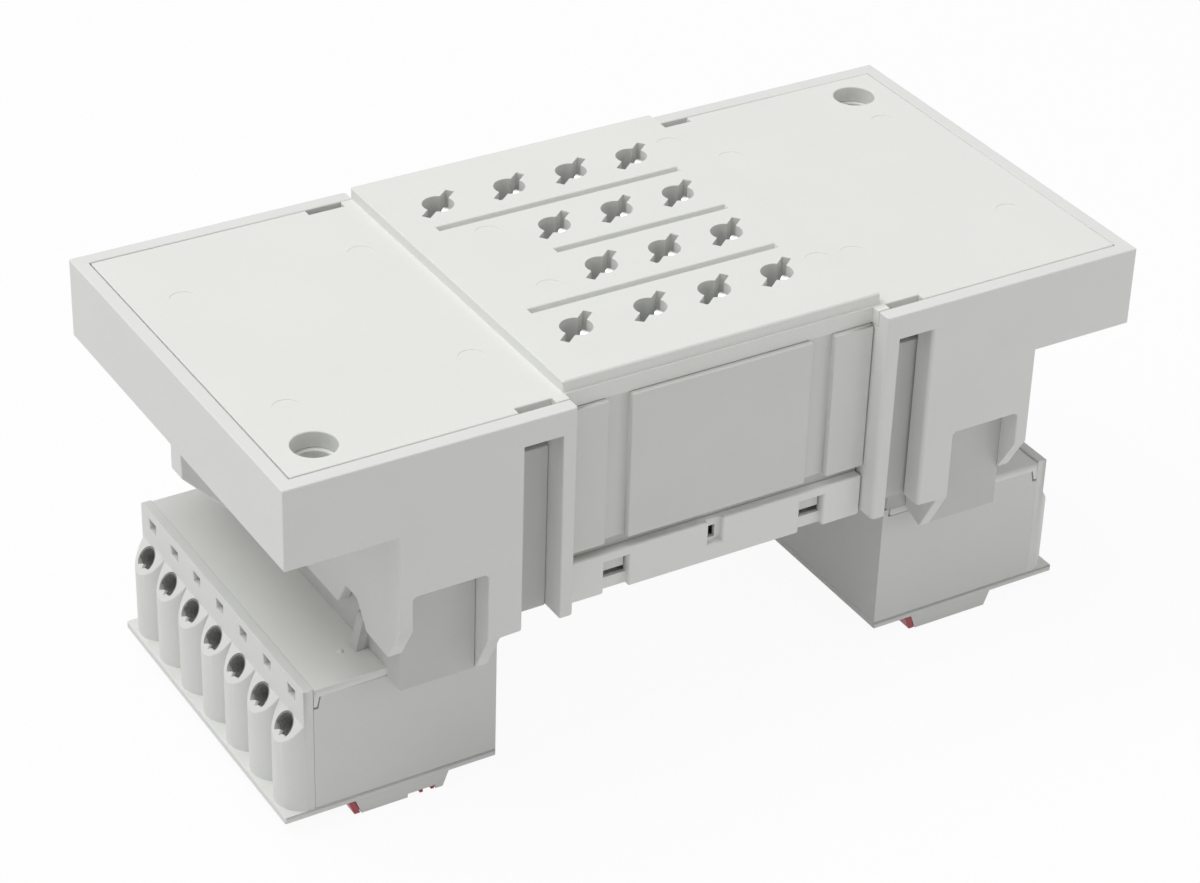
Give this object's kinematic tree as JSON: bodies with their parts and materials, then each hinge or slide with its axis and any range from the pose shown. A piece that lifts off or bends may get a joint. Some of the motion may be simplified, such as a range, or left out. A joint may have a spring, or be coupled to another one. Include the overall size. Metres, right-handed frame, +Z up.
{
  "type": "relay socket",
  "caption": "Plug-in relay socket with keyhole blade slots on a raised pad, two winged end frames and spring-clamp terminal modules with wire towers.",
  "frame": {"origin": "centre of the bounding box on the floor plane under the feet", "axes": "+X along the socket's length towards the right-hand terminal module, +Y to the back, +Z up, the relay plugs in from +Z"},
  "size_m": [0.1156, 0.0576, 0.0541],
  "materials": {
    "frame_grey": "light grey moulded polyamide, fine satin",
    "terminal_grey": "light grey moulded polyamide, satin",
    "latch_red": "dark red moulded acetal",
    "tinned_contact": "tin-plated stamped copper alloy",
    "spring_steel": "bright spring steel"
  },
  "bodies": {
    "base": {"top_plate": "frame_grey", "left_frame": "frame_grey", "right_frame": "frame_grey", "contact_carrier": "frame_grey", "bottom_cover": "frame_grey", "left_riser": "terminal_grey", "right_riser": "terminal_grey", "left_lid": "terminal_grey", "right_lid": "terminal_grey", "left_housing": "terminal_grey", "right_housing": "terminal_grey", "left_shroud": "terminal_grey", "right_shroud": "terminal_grey", "left_foot": "terminal_grey", "right_foot": "terminal_grey", "contact_1": "tinned_contact", "contact_2": "tinned_contact", "contact_3": "tinned_contact", "contact_4": "tinned_contact", "contact_5": "tinned_contact", "contact_6": "tinned_contact", "contact_7": "tinned_contact", "contact_8": "tinned_contact", "contact_9": "tinned_contact", "contact_10": "tinned_contact", "contact_11": "tinned_contact", "contact_12": "tinned_contact", "contact_13": "tinned_contact", "contact_14": "tinned_contact", "clamp_spring_1": "spring_steel", "clamp_spring_2": "spring_steel", "clamp_spring_3": "spring_steel", "clamp_spring_4": "spring_steel", "clamp_spring_5": "spring_steel", "clamp_spring_6": "spring_steel", "clamp_spring_7": "spring_steel", "clamp_spring_8": "spring_steel", "clamp_spring_9": "spring_steel", "clamp_spring_10": "spring_steel", "clamp_spring_11": "spring_steel", "clamp_spring_12": "spring_steel", "clamp_spring_13": "spring_steel", "clamp_spring_14": "spring_steel"},
    "left_latch": {"left_latch": "latch_red"},
    "right_latch": {"right_latch": "latch_red"}
  },
  "joints": [
    {"name": "left_latch_slide", "type": "slide", "parent": "base", "child": "left_latch", "axis": [-1, 0, 0], "range_m": [0, 0.0015], "stiffness_N_per_m": 600, "springref_m": -0.0008},
    {"name": "right_latch_slide", "type": "slide", "parent": "base", "child": "right_latch", "axis": [-1, 0, 0], "range_m": [0, 0.0015], "stiffness_N_per_m": 600, "springref_m": -0.0008}
  ]
}
